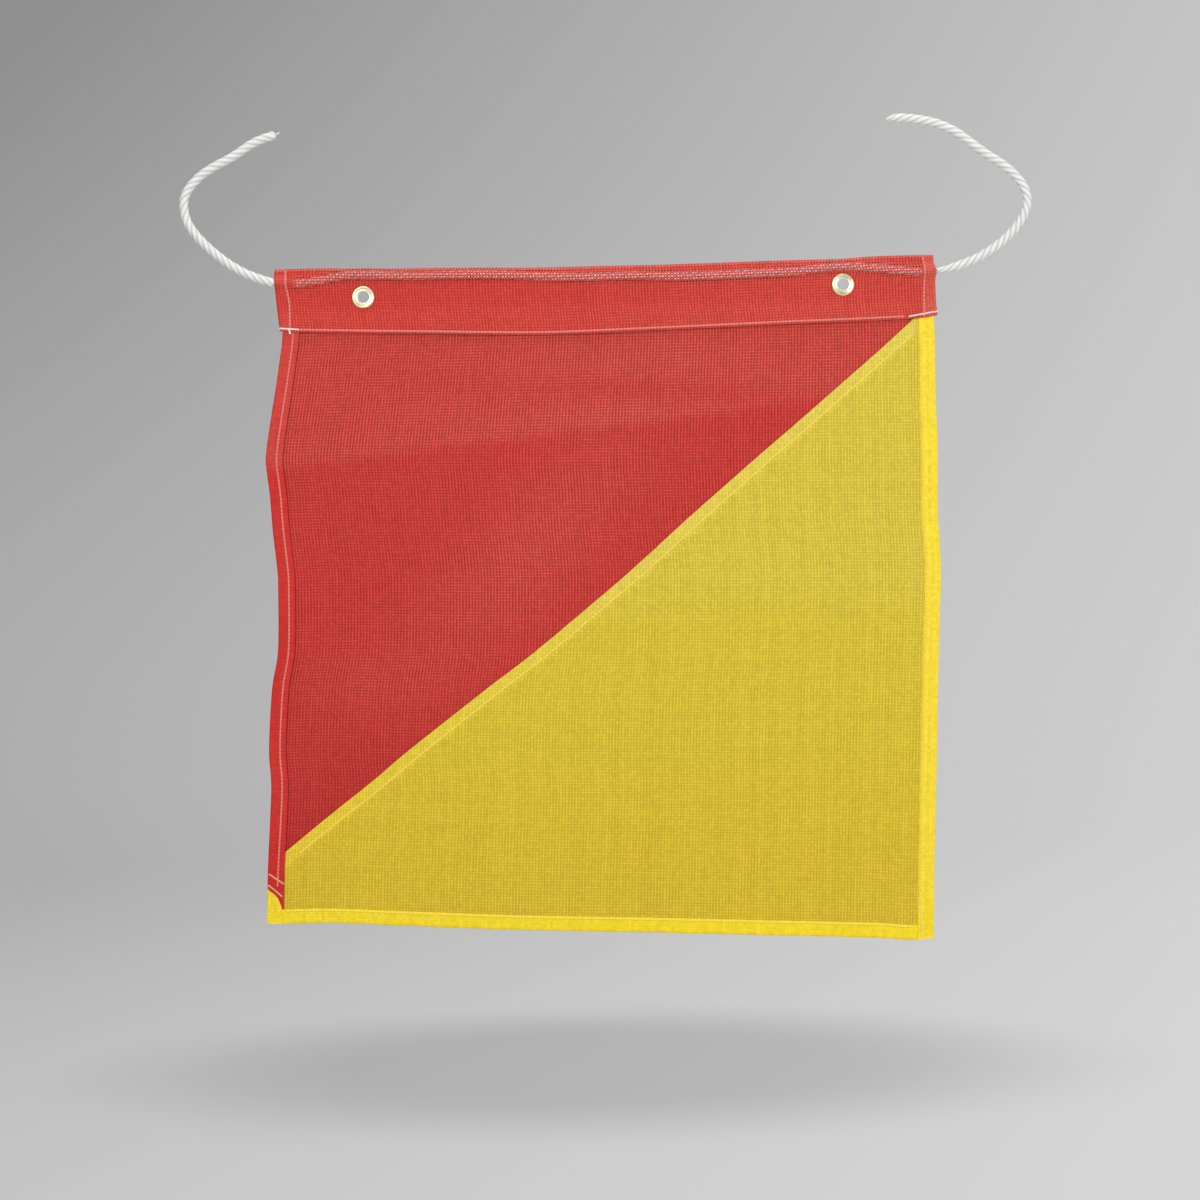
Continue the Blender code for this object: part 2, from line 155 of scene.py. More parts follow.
def curve_through(points, steps=12):
    """A dense smooth line through points, as an array."""
    p = np.array(points, float)
    p = np.vstack([2 * p[0] - p[1], p, 2 * p[-1] - p[-2]])
    t = np.linspace(0, 1, steps, endpoint=False)[:, None]
    parts = []
    for a, b, c, d in zip(p, p[1:], p[2:], p[3:]):
        bend = 2 * b + (c - a) * t + (2 * a - 5 * b + 4 * c - d) * t**2
        parts.append((bend + (3 * b - a - 3 * c + d) * t**3) / 2)
    parts.append(p[-2][None])
    return np.vstack(parts)


def walk(line):
    """The distance from the line's start at each of its points."""
    steps = np.linalg.norm(np.diff(line, axis=0), axis=1)
    return np.concatenate([[0.0], np.cumsum(steps)])


def spaced(line, spacing):
    """The line again, with even spacing."""
    gone = walk(line)
    wanted = np.linspace(0, gone[-1], max(2, round(gone[-1] / spacing) + 1))
    return np.stack([np.interp(wanted, gone, line[:, n]) for n in range(line.shape[1])], 1)


def height_over(points):
    """z as a smooth function of x, from a table that runs along x."""
    line = curve_through(points)
    return lambda x: np.interp(x, line[:, 0], line[:, 1])


def side_beside(points):
    """x as a smooth function of z, from a table that runs along z."""
    line = curve_through(points)
    line = line[np.argsort(line[:, 1])]
    return lambda z: np.interp(z, line[:, 1], line[:, 0])


def smooth_step(low, high, value):
    """0 at low and 1 at high, also where high is the smaller one, with soft ends."""
    t = np.clip((value - low) / (high - low), 0, 1)
    return t * t * (3 - 2 * t)


def fold(past, radius):
    """Cloth that goes on past a fold's start: how far out it then lies, and how far it has lifted."""
    turn = np.clip(past / radius, 0, math.pi)
    out = np.where(past < 0, past, radius * np.sin(turn))
    out = np.where(past > math.pi * radius, math.pi * radius - past, out)
    return out, radius * (1 - np.cos(turn))


left_side, right_side = side_beside(LEFT_EDGE), side_beside(RIGHT_EDGE)
bottom_height = height_over(BOTTOM_EDGE)
header_left, header_right = side_beside(HEADER_LEFT), side_beside(HEADER_RIGHT)
header_top, seam_height = height_over(HEADER_TOP), height_over(SEAM)
rope_height = height_over(SLEEVE_ROUTE)


# ---------------------------------------------------------------- where the cloth lies


def panel_place(s, t):
    """(x, z) of the panel's cloth coordinates: a patch stretched between its four edges."""
    u, v = s / PANEL_WIDE, t / PANEL_TALL
    (x00, z00), (x10, z10) = LEFT_EDGE[0], RIGHT_EDGE[0]
    (x01, z01), (x11, z11) = LEFT_EDGE[-1], RIGHT_EDGE[-1]
    left_z, right_z = z00 + (z01 - z00) * v, z10 + (z11 - z10) * v
    bottom_x = x01 + (x11 - x01) * u
    x = (1 - v) * (x00 + (x10 - x00) * u) + v * bottom_x
    x += (1 - u) * left_side(left_z) + u * right_side(right_z)
    x -= (1 - u) * ((1 - v) * x00 + v * x01) + u * ((1 - v) * x10 + v * x11)
    z = (1 - v) * PANEL_TOP + v * bottom_height(bottom_x) + (1 - u) * left_z + u * right_z
    z -= (1 - u) * ((1 - v) * z00 + v * z01) + u * ((1 - v) * z10 + v * z11)
    return x, z


def wave(x, z):
    """How far the hanging panel stands behind its middle plane, in soft ripples.

    The header holds the panel flat, so the ripples grow downwards, and the left edge has its own.
    """
    loose = smooth_step(-46, -230, z)
    broad = 1.5 * np.sin(x / 74 + 0.7 + z / 260) + 0.9 * np.sin(z / 66 + x / 120 + 0.4)
    fine = 0.5 * np.sin(x / 27 - z / 140 + 1.9)
    edge = np.exp(-(((x + 236) / 26) ** 2)) * smooth_step(-60, -110, z)
    return loose * (broad + fine) + edge * 2.0 * np.sin(z / 26 + 0.8)


def red_sheen(x, z):
    """How much painted sheen the red gets: above a soft crease, and in the patches of the table."""
    crease = CREASE_HEIGHT + CREASE_SLOPE * (x - CREASE_START)
    fading = 1 - 0.3 * smooth_step(crease + 8, crease + 40, z)
    above = smooth_step(crease - 4, crease + 6, z) * fading
    sheen_amount = above * (0.13 + 0.05 * smooth_step(-160, 0, x))
    for patch_x, patch_z, half_wide, half_tall, slope, amount in SHEEN_PATCHES:
        lower = (z - patch_z - slope * (x - patch_x)) / half_tall
        sheen_amount = sheen_amount + amount * np.exp(-(((x - patch_x) / half_wide) ** 2) - lower**2)
    return np.clip(sheen_amount, 0, 1)


def header_half(x, z):
    """Half the header's thickness at (x, z), to the outside of its cloth."""
    end = smooth_step(212, 224, np.abs(x))
    over_rope = np.clip(np.abs(z - rope_height(x)) / BULGE_REACH, 0, 1)
    bulge = (ROPE_RADIUS + 0.15 + 0.3 * end) * 0.5 * (1 + np.cos(math.pi * over_rope))
    pocket = FLAT_HALF + 0.9 * smooth_step(-19, -26, z)
    ripple = 0.22 * np.sin(x / 19 + 1.3) * smooth_step(-14, -24, z)
    return np.maximum(bulge, 0) + pocket + ripple - FLAT_HALF * (over_rope < 1) * (1 - over_rope)


def header_foot(x):
    """The height of the header's lower edge."""
    return seam_height(x) - SEAM_RISE


# ---------------------------------------------------------------- meshes


def link(piece):
    bpy.context.scene.collection.objects.link(piece)
    return piece


def mesh_piece(name, points, faces, uv=None):
    """A smooth-shaded mesh from points in millimetres; uv is one pair for each point."""
    mesh = bpy.data.meshes.new(name)
    mesh.from_pydata((np.asarray(points, float) * MM).tolist(), [], faces)
    if uv is not None:
        layer = mesh.uv_layers.new(name="weave")
        corner = np.zeros(len(mesh.loops), np.int32)
        mesh.loops.foreach_get("vertex_index", corner)
        layer.data.foreach_set("uv", np.asarray(uv, float)[corner].astype(np.float32).ravel())
    mesh.polygons.foreach_set("use_smooth", [True] * len(mesh.polygons))
    mesh.update()
    return link(bpy.data.objects.new(name, mesh))


def add_amount(piece, name, values):
    """A number at each point of a mesh, for its material."""
    made = piece.data.attributes.new(name, "FLOAT", "POINT")
    made.data.foreach_set("value", np.asarray(values, np.float32))


def thread_lines(start, end, hole, extra):
    """The holes' sides along one direction, with the extra marks, and which gaps are a hole's."""
    marks = {start, end, *[e for e in extra if start < e < end]}
    for n in range(math.floor(start / PITCH), math.ceil(end / PITCH)):
        for side in (-hole / 2, hole / 2):
            mark = (n + 0.5) * PITCH + side
            if start < mark < end:
                marks.add(mark)
    marks = np.array(sorted(marks))
    middle = (marks[:-1] + marks[1:]) / 2 / PITCH
    return marks, np.abs(middle % 1 - 0.5) < hole / 2 / PITCH


def woven(across, down, hole, keep, cuts=(), extra_s=(), extra_t=()):
    """Flat open mesh: its (s, t) points and its faces.

    keep(s, t) says which faces stay, and each cut is a line, two (s, t) points, that the faces
    are first split along, so that an oblique edge comes out straight.
    """
    s_marks, s_open = thread_lines(*across, hole, extra_s)
    t_marks, t_open = thread_lines(*down, hole, extra_t)
    count = len(t_marks)
    i, j = np.nonzero(~(s_open[:, None] & t_open[None, :]))
    middle_s, middle_t = (s_marks[i] + s_marks[i + 1]) / 2, (t_marks[j] + t_marks[j + 1]) / 2
    near = keep(middle_s, middle_t)
    for a, b in cuts:
        a, b = np.array(a), np.array(b)
        along = (b - a) / np.linalg.norm(b - a)
        away = (middle_s - a[0]) * along[1] - (middle_t - a[1]) * along[0]
        near = near | (np.abs(away) < PITCH)
    i, j = i[near], j[near]
    faces = np.stack([i * count + j, (i + 1) * count + j, (i + 1) * count + j + 1, i * count + j + 1], 1)
    points = np.stack(np.meshgrid(s_marks, t_marks, indexing="ij"), -1).reshape(-1, 2)
    used, faces = np.unique(faces, return_inverse=True)
    points, faces = points[used], faces.reshape(-1, 4)
    if not cuts:
        return points, faces.tolist()
    return split_along(points, faces.tolist(), cuts, keep)


def split_along(points, faces, cuts, keep):
    """The flat mesh split along each cut, with only the faces that keep() wants."""
    flat = bpy.data.meshes.new("flat")
    flat.from_pydata([(s, t, 0) for s, t in points], [], faces)
    shape = bmesh.new()
    shape.from_mesh(flat)
    for a, b in cuts:
        normal = Vector((b[1] - a[1], a[0] - b[0], 0)).normalized()
        geometry = [*shape.verts, *shape.edges, *shape.faces]
        bmesh.ops.bisect_plane(shape, geom=geometry, dist=0.001, plane_co=(*a, 0), plane_no=normal)
    middles = np.array([face.calc_center_median()[:2] for face in shape.faces])
    stays = keep(middles[:, 0], middles[:, 1])
    dropped = [face for face, stay in zip(shape.faces, stays) if not stay]
    bmesh.ops.delete(shape, geom=dropped, context="FACES")
    shape.verts.index_update()
    points = np.array([v.co[:2] for v in shape.verts])
    faces = [[v.index for v in face.verts] for face in shape.faces]
    shape.free()
    bpy.data.meshes.remove(flat)
    return points, faces


def past_diagonal(s, t):
    """How far a cloth point lies beyond the yellow's folded edge, on the red's side."""
    (s0, t0), (s1, t1) = DIAGONAL
    long = math.hypot(s1 - s0, t1 - t0)
    return ((s - s0) * (t1 - t0) - (t - t0) * (s1 - s0)) / long


def beside_diagonal(distance, first=-0.2, last=1.2):
    """The line that far beyond the yellow's folded edge, as two (s, t) points."""
    (s0, t0), (s1, t1) = DIAGONAL
    long = math.hypot(s1 - s0, t1 - t0)
    ns, nt = (t1 - t0) / long * distance, -(s1 - s0) / long * distance
    ends = []
    for share in (first, last):
        ends.append((s0 + (s1 - s0) * share + ns, t0 + (t1 - t0) * share + nt))
    return ends


def tongue_end(s):
    """Where the red's left hem ends, as t."""
    return np.interp(np.abs(s), *np.array(TONGUE).T)


def hem_edge(wide, radius):
    """How far past its fold line a hem of that width is cut."""
    return wide + (math.pi - 2) * radius


def build_red():
    """The red cloth: its left hem folded to the front, and its raw edge behind the yellow."""
    def keep(s, t):
        above = past_diagonal(s, t) > -RED_MARGIN
        return (above | (s < RED_HEM)) & (t < tongue_end(s))

    cuts = [beside_diagonal(-RED_MARGIN)]
    for (s0, t0), (s1, t1) in zip(TONGUE, TONGUE[1:]):
        cuts += [((s0, t0), (s1, t1)), ((-s0, t0), (-s1, t1))]
    bend = math.pi * RED_FOLD
    lines = [RED_FOLD, RED_FOLD - bend / 3, RED_FOLD - bend * 2 / 3, RED_FOLD - bend, RED_HEM]
    hem_cut = hem_edge(RED_HEM, RED_FOLD)
    points, faces = woven((-hem_cut, PANEL_WIDE), (0, TONGUE[-1][1]), PANEL_HOLE, keep, cuts, lines)
    s, t = points.T
    out, lift = fold(RED_FOLD - s, RED_FOLD)
    x, z = panel_place(RED_FOLD - out, t)
    y = RED_LAYER - lift + wave(x, z)
    piece = mesh_piece("red_cloth", np.stack([x, y, z], 1), faces, points / PITCH)
    add_amount(piece, "double", (RED_FOLD - out < RED_HEM + 0.01).astype(float))
    # A painted sheen on the red, above its crease and in patches
    add_amount(piece, "sheen_and_paling", red_sheen(x, z))
    return piece


def build_yellow():
    """The yellow cloth: a fold under its diagonal, and hems folded to the front on three edges."""
    def keep(s, t):
        left = (s > YELLOW_START) | ((t > HEM_START) & ((s > 0) | (t < PANEL_TALL)))
        corner = (s > PANEL_WIDE) & (t > PANEL_TALL)
        return left & ~corner & (past_diagonal(s, t) < DIAGONAL_HEM)

    bend = math.pi * DIAGONAL_FOLD
    bend_lines = (-DIAGONAL_FOLD, bend / 2 - DIAGONAL_FOLD, bend - DIAGONAL_FOLD)
    cuts = [beside_diagonal(distance) for distance in (DIAGONAL_HEM, *bend_lines)]
    right, bottom = PANEL_WIDE - RIGHT_FOLD, PANEL_TALL - BOTTOM_FOLD
    lines_s = [YELLOW_START, LEFT_HEM, PANEL_WIDE - RIGHT_HEM, LEFT_FOLD, LEFT_FOLD - math.pi * LEFT_FOLD, 0]
    lines_s += [right + math.pi * RIGHT_FOLD * n / 3 for n in range(4)] + [PANEL_WIDE]
    lines_t = [bottom + math.pi * BOTTOM_FOLD * n / 2 for n in range(3)] + [PANEL_TALL]
    lines_t += [HEM_START, PANEL_TALL - BOTTOM_HEM]
    across = (-hem_edge(LEFT_HEM, LEFT_FOLD), PANEL_WIDE + hem_edge(RIGHT_HEM, RIGHT_FOLD))
    down = (0, PANEL_TALL + hem_edge(BOTTOM_HEM, BOTTOM_FOLD))
    points, faces = woven(across, down, PANEL_HOLE, keep, cuts, lines_s, lines_t)
    s, t = points.T
    past = past_diagonal(s, t)
    out, under = fold(past + DIAGONAL_FOLD, DIAGONAL_FOLD)
    back = np.minimum(0, out - (past + DIAGONAL_FOLD))
    (s0, t0), (s1, t1) = DIAGONAL
    long = math.hypot(s1 - s0, t1 - t0)
    s2, t2 = s + (t1 - t0) / long * back, t - (s1 - s0) / long * back
    right_out, right_lift = fold(s2 - right, RIGHT_FOLD)
    left_out, left_lift = fold(LEFT_FOLD - s2, LEFT_FOLD)
    bottom_out, bottom_lift = fold(t2 - bottom, BOTTOM_FOLD)
    s3 = np.where(s2 > PANEL_WIDE / 2, right + right_out, LEFT_FOLD - left_out)
    t3 = bottom + bottom_out
    x, z = panel_place(s3, t3)
    y = YELLOW_LAYER + under - right_lift - left_lift - bottom_lift + wave(x, z)
    piece = mesh_piece("yellow_cloth", np.stack([x, y, z], 1), faces, points / PITCH)
    margins = [PANEL_WIDE - s3 - RIGHT_HEM, PANEL_TALL - t3 - BOTTOM_HEM]
    margins.append(np.where(t3 > HEM_START, s3 - LEFT_HEM, PANEL_WIDE))
    inside = -np.min(margins, axis=0)  # how far a point lies inside a hem
    hemmed, rubbed = inside > -0.01, smooth_step(4.2, 3.4, inside)  # brighter beside its inner edge
    banded = np.abs(past) < DIAGONAL_HEM
    add_amount(piece, "double", np.where(hemmed, 1.0 + 0.25 * rubbed, np.where(banded, 0.4, 0.0)))
    # Paler towards the top as painted light from above, and paler along the diagonal band and on the hems
    high = smooth_step(-250, -205, z)
    pale = 0.13 * high + banded * (0.06 + 0.14 * smooth_step(-380, -200, z))
    add_amount(piece, "sheen_and_paling", np.where(hemmed, 0.08 * smooth_step(-450, -420, z), pale))
    return piece


def build_header_cloth():
    """The header: one strip folded over the rope, with its ends turned in."""
    def keep(s, t):
        x, z, _ = header_flat(s, t)
        return near_grommet(x, z) > HOLE_RADIUS

    def header_flat(s, t):
        """(x, z) of the strip's coordinates, and which points are turned in at an end.

        The turned-in ends and the back lie half a pitch aside, so that no holes line up.
        """
        inside = np.clip(s, 0, HEADER_WIDE) * 2 - s
        inside = inside + PITCH / 2 * (smooth_step(0, 1.5, -s) - smooth_step(0, 1.5, s - HEADER_WIDE))
        share = np.where(t > HEADER_TALL, 2 * HEADER_TALL - t, t) / HEADER_TALL
        guess = -HEADER_WIDE / 2 + inside
        z = header_foot(guess) + (header_top(guess) - header_foot(guess)) * share
        left, right = header_left(z), header_right(z)
        aside = PITCH / 2 * smooth_step(HEADER_TALL - 2, HEADER_TALL + 2, t)
        inside = np.clip(inside + aside, 0, HEADER_WIDE)
        x = left + (right - left) * inside / HEADER_WIDE
        return x, z, (s < 0) | (s > HEADER_WIDE)

    bend_lines = [HEADER_TALL + d for d in (-HEADER_BEND, -0.7, 0, 0.7, HEADER_BEND)]
    points, faces = woven((-TURN_IN, HEADER_WIDE + TURN_IN), (0, 2 * HEADER_TALL), HEADER_HOLE, keep,
                          extra_s=(0, HEADER_WIDE), extra_t=bend_lines)
    flat_x, flat_z, _ = header_flat(*points.T)
    between_ends = smooth_step(-219, -213, flat_x) * smooth_step(221.5, 219, flat_x)
    near_rope = between_ends * smooth_step(5.2, 3.7, np.abs(flat_z - rope_height(flat_x)))
    opening = CLOSED + (1 - CLOSED) * near_rope
    points = np.stack([opened(points[:, n], HEADER_HOLE, opening) for n in (0, 1)], 1)
    s, t = points.T
    x, z, turned_in = header_flat(s, t)
    half = header_half(x, z) - TURNED_STEP * turned_in
    near_top = np.abs(t - HEADER_TALL) < HEADER_BEND
    swing = np.sin(np.clip((t - HEADER_TALL) / HEADER_BEND, -1, 1) * math.pi / 2)
    y = half * swing
    z = np.where(near_top, z + 0.35 * (1 - np.abs(swing)), z)
    piece = mesh_piece("header_cloth", np.stack([x, y, z], 1), faces, points / PITCH)
    ends = (x < header_left(z) + TURN_IN) | (x > header_right(z) - TURN_IN)
    add_amount(piece, "double", np.where(ends, 0.55, 0.1))
    # Paler to the right, along the foot, over the rope and at the right end, with a painted highlight on its
    # crest
    pale = 0.09 * smooth_step(-150, 190, x) + 0.06 * smooth_step(-14, -26, z)
    pale += 0.10 * smooth_step(8.0, 4.5, np.abs(z - rope_height(x)))
    pale += 0.12 * smooth_step(219, 222, x)
    crest = smooth_step(1.6, 0.9, np.abs(t - HEADER_TALL))
    add_amount(piece, "sheen_and_paling", np.maximum(pale, 0.65 * crest))
    return piece


def opened(place, hole, share):
    """The threads' places moved so that each hole keeps only a share of its size."""
    middle = (np.floor(place / PITCH) + 0.5) * PITCH
    away = np.abs(place - middle)
    small = share * hole / 2
    beyond = small + (away - hole / 2) * (PITCH / 2 - small) / (PITCH / 2 - hole / 2)
    return middle + np.sign(place - middle) * np.where(away <= hole / 2, away * share, beyond)


def near_grommet(x, z):
    """The distance to the nearer grommet's middle."""
    return np.min([np.hypot(x - gx, z - gz) for gx, gz in GROMMETS.values()], axis=0)


# ---------------------------------------------------------------- rope


def rope_valley(turn):
    """0 on the crests of the rope's strands and 1 down between them."""
    place = turn * ROPE_STRANDS / (2 * math.pi)
    return (2 * np.abs(place - np.round(place))) ** 2


def round_tip(gone, whole, reach):
    """The rope's share of its full radius near its cut end."""
    return np.sqrt(np.clip((whole - gone) / reach, 0.02, 1))


def build_rope(name, route, hand, share):
    """Twisted strands along a route of (x, z) points.

    hand is 1 or -1 for the way they turn, and share(gone, whole) is the radius's share.
    """
    line = spaced(curve_through(route), ROPE_STEP)
    gone = walk(line)
    along = np.gradient(line, axis=0)
    along /= np.linalg.norm(along, axis=1)[:, None]
    turn = np.linspace(-math.pi, math.pi, ROPE_SIDES, endpoint=False)
    size = share(gone, gone[-1])
    twisted = turn[None, :] - hand * 2 * math.pi * gone[:, None] / ROPE_LAY
    valley = rope_valley(twisted)
    radius = ROPE_RADIUS * (1 - ROPE_GROOVE * valley) * size[:, None]
    front, side = radius * np.cos(turn), radius * np.sin(turn)
    x = line[:, :1] - side * along[:, 1:]
    z = line[:, 1:] + side * along[:, :1]
    points = np.stack([x, -front, z], -1).reshape(-1, 3)
    ring = np.arange(ROPE_SIDES)
    following = (ring + 1) % ROPE_SIDES
    faces = []
    for n in range(len(line) - 1):
        here, there = n * ROPE_SIDES, (n + 1) * ROPE_SIDES
        faces += np.stack([ring + here, following + here, following + there, ring + there], 1).tolist()
    faces += [ring[::-1].tolist(), (ring + (len(line) - 1) * ROPE_SIDES).tolist()]
    centimetres = np.broadcast_to(gone[:, None], twisted.shape) / 10
    uv = np.stack([twisted / (2 * math.pi), centimetres], -1)
    piece = mesh_piece(name, points, faces, uv.reshape(-1, 2))
    # How far down between the strands each point lies, for the painted shade there
    add_amount(piece, "valley", valley.reshape(-1))
    return piece, line


def build_wisp(name, tip, lean, count):
    """Loose fibres at a cut end of the rope."""
    chance = random.Random(name)
    strands = []
    for _ in range(count):
        start = Vector((chance.uniform(-0.6, 0.1), chance.uniform(-1.2, 1.2), chance.uniform(-0.2, 1.6)))
        way = (Vector(lean) + Vector([chance.uniform(-0.5, 0.5) for _ in range(3)])).normalized()
        curl = Vector([chance.uniform(-0.35, 0.35) for _ in range(3)])
        long = chance.uniform(1.5, 3.0)
        points = []
        for n in range(6):
            share = n / 5
            points.append(Vector(tip) + start + way * long * share + curl * long * share**2)
        strands.append((np.array(points), FIBRE_RADIUS))
    return tubes(name, strands, 6)


def tubes(name, lines, sides, flatness=1.0):
    """One mesh of many thin threads, each a line of (x, y, z) points with a radius."""
    points, faces = [], []
    for line, thick in lines:
        along = np.gradient(line, axis=0)
        along /= np.linalg.norm(along, axis=1)[:, None]
        up = np.array([0.02, -1.0, 0.03])  # forwards, but along no thread
        across = np.cross(along, up)
        across /= np.linalg.norm(across, axis=1)[:, None]
        over = np.cross(across, along)
        share = np.linspace(-1, 1, len(line))
        size = thick * np.sqrt(np.clip(1 - np.abs(share) ** 5, 0.04, 1))
        turn = np.linspace(0, 2 * math.pi, sides, endpoint=False)
        ring = across[:, None] * np.cos(turn)[None, :, None]
        ring = ring + over[:, None] * np.sin(turn)[None, :, None] * flatness
        base = len(points)
        points += (line[:, None] + ring * size[:, None, None]).reshape(-1, 3).tolist()
        for n in range(len(line) - 1):
            for m in range(sides):
                a, b = base + n * sides + m, base + n * sides + (m + 1) % sides
                faces.append((a, b, b + sides, a + sides))
        faces.append(list(range(base + sides - 1, base - 1, -1)))
        last = base + (len(line) - 1) * sides
        faces.append(list(range(last, last + sides)))
    return mesh_piece(name, points, faces)


# ---------------------------------------------------------------- stitches


STITCH_PITCH, STITCH_LONG = 2.6, 3.0
HEADER_THREAD, PANEL_THREAD = 0.8, 0.65  # the stitches' half widths
BAR_WIDE, BAR_STITCHES = 1.3, 24
HEADER_BAR_THREAD, PANEL_BAR_THREAD = 0.42, 0.4
FLATNESS = 0.45  # the share of a stitch's half width that it stands up


def stitch_lines(line, face, side, thick):
    """Single stitches along (x, z) points; face(x, z) is the cloth's y, and side -1 is in front."""
    gone = walk(line)
    found = []
    for n in range(int(gone[-1] / STITCH_PITCH)):
        middle = (n + 0.5) * STITCH_PITCH
        span = np.linspace(middle - STITCH_LONG / 2, middle + STITCH_LONG / 2, 6)
        x, z = np.interp(span, gone, line[:, 0]), np.interp(span, gone, line[:, 1])
        y = face(x, z) + side * thick * (0.35 - 0.5 * np.linspace(-1, 1, 6) ** 4)
        found.append((np.stack([x, y, z], 1), thick))
    return found


def bar_lines(start, end, face, thick):
    """A bar tack: close stitches to and fro across a short line."""
    start, end = np.array(start, float), np.array(end, float)
    along = (end - start) / np.linalg.norm(end - start)
    across = np.array([-along[1], along[0]])
    found = []
    for n in range(BAR_STITCHES):
        a = start + (end - start) * n / BAR_STITCHES
        b = start + (end - start) * (n + 1.6) / BAR_STITCHES
        side = 1 if n % 2 else -1
        share = np.linspace(0, 1, 5)[:, None]
        flat = a + (b - a) * share + across * BAR_WIDE / 2 * side * (1 - 2 * share)
        y = face(flat[:, 0], flat[:, 1]) - thick * (1.2 - (2 * share[:, 0] - 1) ** 4)
        found.append((np.stack([flat[:, 0], y, flat[:, 1]], 1), thick))
    return found


def panel_line(points):
    """A smooth (x, z) line through (s, t) points of the panel."""
    flat = spaced(curve_through(points), 4.0)
    return np.stack(panel_place(flat[:, 0], flat[:, 1]), 1)


def at_layer(distance):
    """The y of a layer of the hanging panels, as a function of (x, z)."""
    return lambda x, z: distance + wave(x, z)


def header_face(side):
    """The y of the header's front (-1) or back (1), as a function of (x, z)."""
    return lambda x, z: side * header_half(x, z)


def both_sides(line, front, back, thick):
    """The needle's thread in front and the bobbin's behind."""
    return stitch_lines(line, front, -1, thick) + stitch_lines(line, back, 1, thick)


# ---------------------------------------------------------------- turned brass


RING_STEPS = 64


def turned(name, profile, x, z):
    """A ring turned about the Y axis from a closed line of (radius, y, rubbed share) points."""
    profile = np.array(profile, float)
    closed = np.vstack([profile, profile[:1]])
    line = curve_through(closed, 3)[:-1]
    count = len(line)
    points = []
    for angle in np.linspace(0, 2 * math.pi, RING_STEPS, endpoint=False):
        for radius, y, _ in line:
            points.append((x + radius * math.sin(angle), y, z + radius * math.cos(angle)))
    faces = []
    for n in range(RING_STEPS):
        a, b = n * count, (n + 1) % RING_STEPS * count
        for m in range(count):
            following = (m + 1) % count
            faces.append((a + m, a + following, b + following, b + m))
    piece = mesh_piece(name, points, faces)
    add_amount(piece, "silver", np.tile(np.clip(line[:, 2], 0, 1), RING_STEPS))
    return piece


GROMMET_PROFILE = [
    (7.9, -0.70, 0), (7.95, -0.95, 0), (7.6, -1.45, 0), (6.9, -1.78, 0), (6.1, -1.62, 0),
    (5.5, -1.42, 0.1), (5.0, -1.5, 0.5), (4.5, -1.6, 1), (4.0, -1.35, 1), (3.75, -0.8, 1),
    (3.75, 0.3, 1), (3.78, 1.5, 1), (4.1, 2.1, 0.8), (4.9, 2.45, 0.2), (5.8, 2.3, 0), (6.3, 1.85, 0),
    (6.2, 1.45, 0), (5.4, 1.4, 0), (4.45, 1.3, 0), (4.4, 0.2, 0), (4.5, -0.55, 0), (6.2, -0.62, 0),
]
WASHER_PROFILE = [
    (4.55, 0.6, 0), (6.3, 0.58, 0), (7.8, 0.6, 0), (7.95, 0.8, 0), (7.6, 1.1, 0), (6.6, 1.32, 0),
    (5.5, 1.28, 0), (4.6, 1.1, 0),
]


# ---------------------------------------------------------------- materials


class Nodes:
    """A material's nodes, written as short lines."""

    def __init__(self, name, **sockets):
        self.material = bpy.data.materials.new(name)
        self.material.use_nodes = True
        self.tree = self.material.node_tree
        self.shader = self.tree.nodes["Principled BSDF"]
        for socket, value in sockets.items():
            self.shader.inputs[socket.replace("_", " ")].default_value = value

    def add(self, kind, inputs=(), **settings):
        node = self.tree.nodes.new("ShaderNode" + kind)
        for key, value in settings.items():
            setattr(node, key, value)
        for key, value in dict(inputs).items():
            self.feed(node.inputs[key], value)
        return node

    def feed(self, socket, value):
        if isinstance(value, bpy.types.Node):
            value = value.outputs[0]
        if isinstance(value, bpy.types.NodeSocket):
            self.tree.links.new(value, socket)
        else:
            socket.default_value = value

    def calc(self, operation, a, b=0.0, c=0.0):
        return self.add("Math", {0: a, 1: b, 2: c}, operation=operation)

    def ramp(self, value, low, high, to_low=0.0, to_high=1.0, smooth=True):
        kind = "SMOOTHSTEP" if smooth else "LINEAR"
        spans = {"Value": value, "From Min": low, "From Max": high, "To Min": to_low, "To Max": to_high}
        return self.add("MapRange", spans, interpolation_type=kind)

    def mix(self, share, a, b, blend="MIX"):
        node = self.add("Mix", data_type="RGBA", blend_type=blend)
        factor, first, second = node.inputs[0], node.inputs[6], node.inputs[7]
        for socket, value in ((factor, share), (first, a), (second, b)):
            self.feed(socket, value)
        return node.outputs[2]

    def noise(self, vector, scale, detail=2.0, rough=0.5):
        sockets = {"Vector": vector, "Scale": scale, "Detail": detail, "Roughness": rough}
        return self.add("TexNoise", sockets)

    def bump(self, height, strength, distance):
        sockets = {"Height": height, "Strength": strength, "Distance": distance}
        self.feed(self.shader.inputs["Normal"], self.add("Bump", sockets))

    def amount(self, name):
        return self.add("Attribute", attribute_name=name).outputs["Fac"]

    def colour(self, value):
        self.feed(self.shader.inputs["Base Color"], value)


